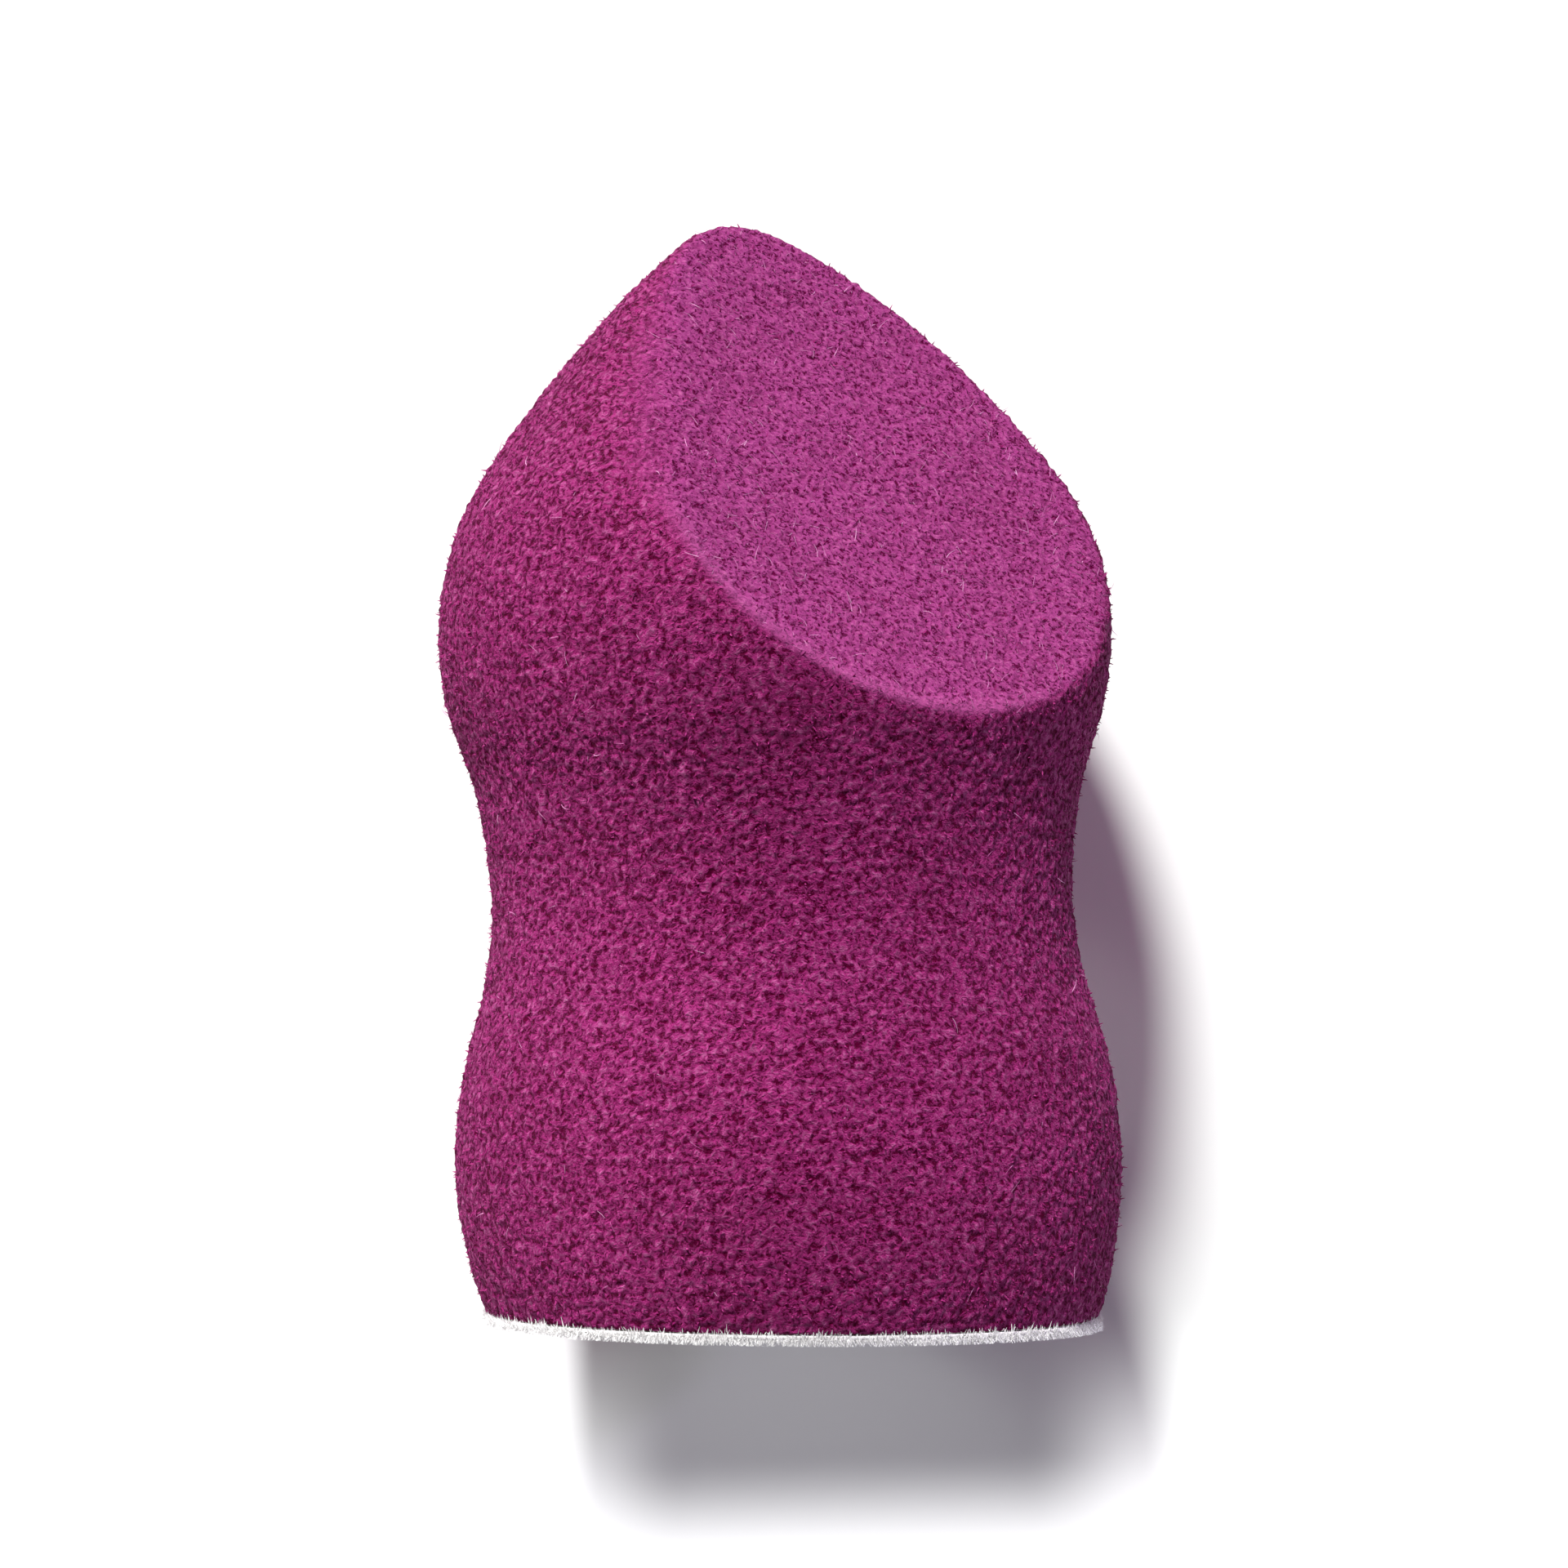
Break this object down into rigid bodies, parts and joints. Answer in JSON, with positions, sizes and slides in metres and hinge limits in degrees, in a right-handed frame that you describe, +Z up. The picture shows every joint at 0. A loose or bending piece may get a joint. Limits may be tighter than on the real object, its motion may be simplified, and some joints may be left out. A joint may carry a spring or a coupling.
{
  "type": "makeup sponge",
  "caption": "Soft foam makeup sponge with a waisted body, a pointed top, one slanted flat cut for blending and a velour pad glued to its base.",
  "frame": {"origin": "on the surface that the sponge lies on, under the middle of its length and width", "axes": "+Y along the sponge from the pad to the pointed end, +Z up, +X to the right as seen from above with the point ahead"},
  "size_m": [0.0401, 0.0658, 0.0395],
  "materials": {
    "foam": "matte",
    "glue": "matte",
    "ground_cloth": "matte",
    "pile": "matte"
  },
  "bodies": {
    "root": {"foam_body": "foam", "glue_film": "glue", "velour_cloth": "ground_cloth", "velour_pile": "pile"}
  },
  "joints": []
}
